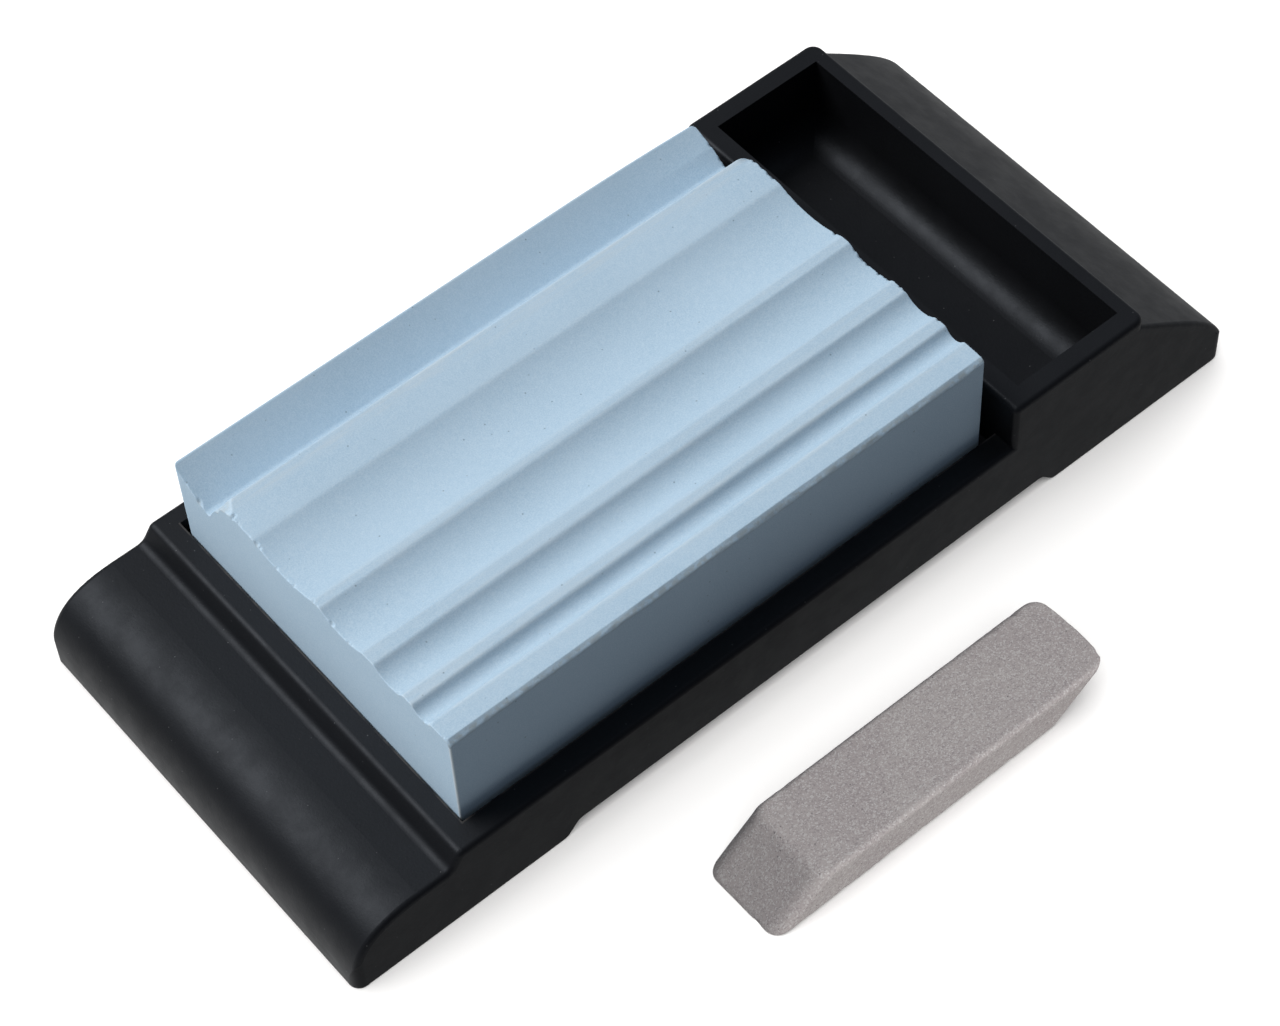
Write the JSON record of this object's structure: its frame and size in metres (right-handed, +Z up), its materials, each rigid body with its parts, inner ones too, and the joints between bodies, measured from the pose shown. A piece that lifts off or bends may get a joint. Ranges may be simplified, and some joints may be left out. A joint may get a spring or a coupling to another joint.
{
  "type": "sharpening whetstone",
  "caption": "Shaped whetstone with grooves for carving tools, in a moulded bench holder with a trough, and a loose slip stone beside it.",
  "frame": {"origin": "on the bench, below the middle of the outline of the holder and the slip stone together", "axes": "+X along the holder from its low grip to its trough, +Y across it from the slip stone's side to the V groove's side, +Z up"},
  "size_m": [0.1912, 0.1208, 0.0396],
  "materials": {
    "holder_plastic": "satin black moulding with a fine grain",
    "whetstone": "matte pale blue fine-grit stone",
    "slip_stone": "matte warm grey coarse-grit stone",
    "pad_rubber": "matte black rubber"
  },
  "bodies": {
    "holder": {"holder": "holder_plastic", "foot_pad_left_near": "pad_rubber", "foot_pad_left_far": "pad_rubber", "foot_pad_right_near": "pad_rubber", "foot_pad_right_far": "pad_rubber"},
    "whetstone": {"whetstone": "whetstone"},
    "slip_stone": {"slip_stone": "slip_stone"}
  },
  "joints": [
    {"name": "whetstone_lift", "type": "slide", "parent": "holder", "child": "whetstone", "axis": [0, 0, 1], "range_m": [0, 0.06]},
    {"name": "slip_stone_lift", "type": "slide", "parent": "holder", "child": "slip_stone", "axis": [0, 0, 1], "range_m": [0, 0.06]}
  ]
}
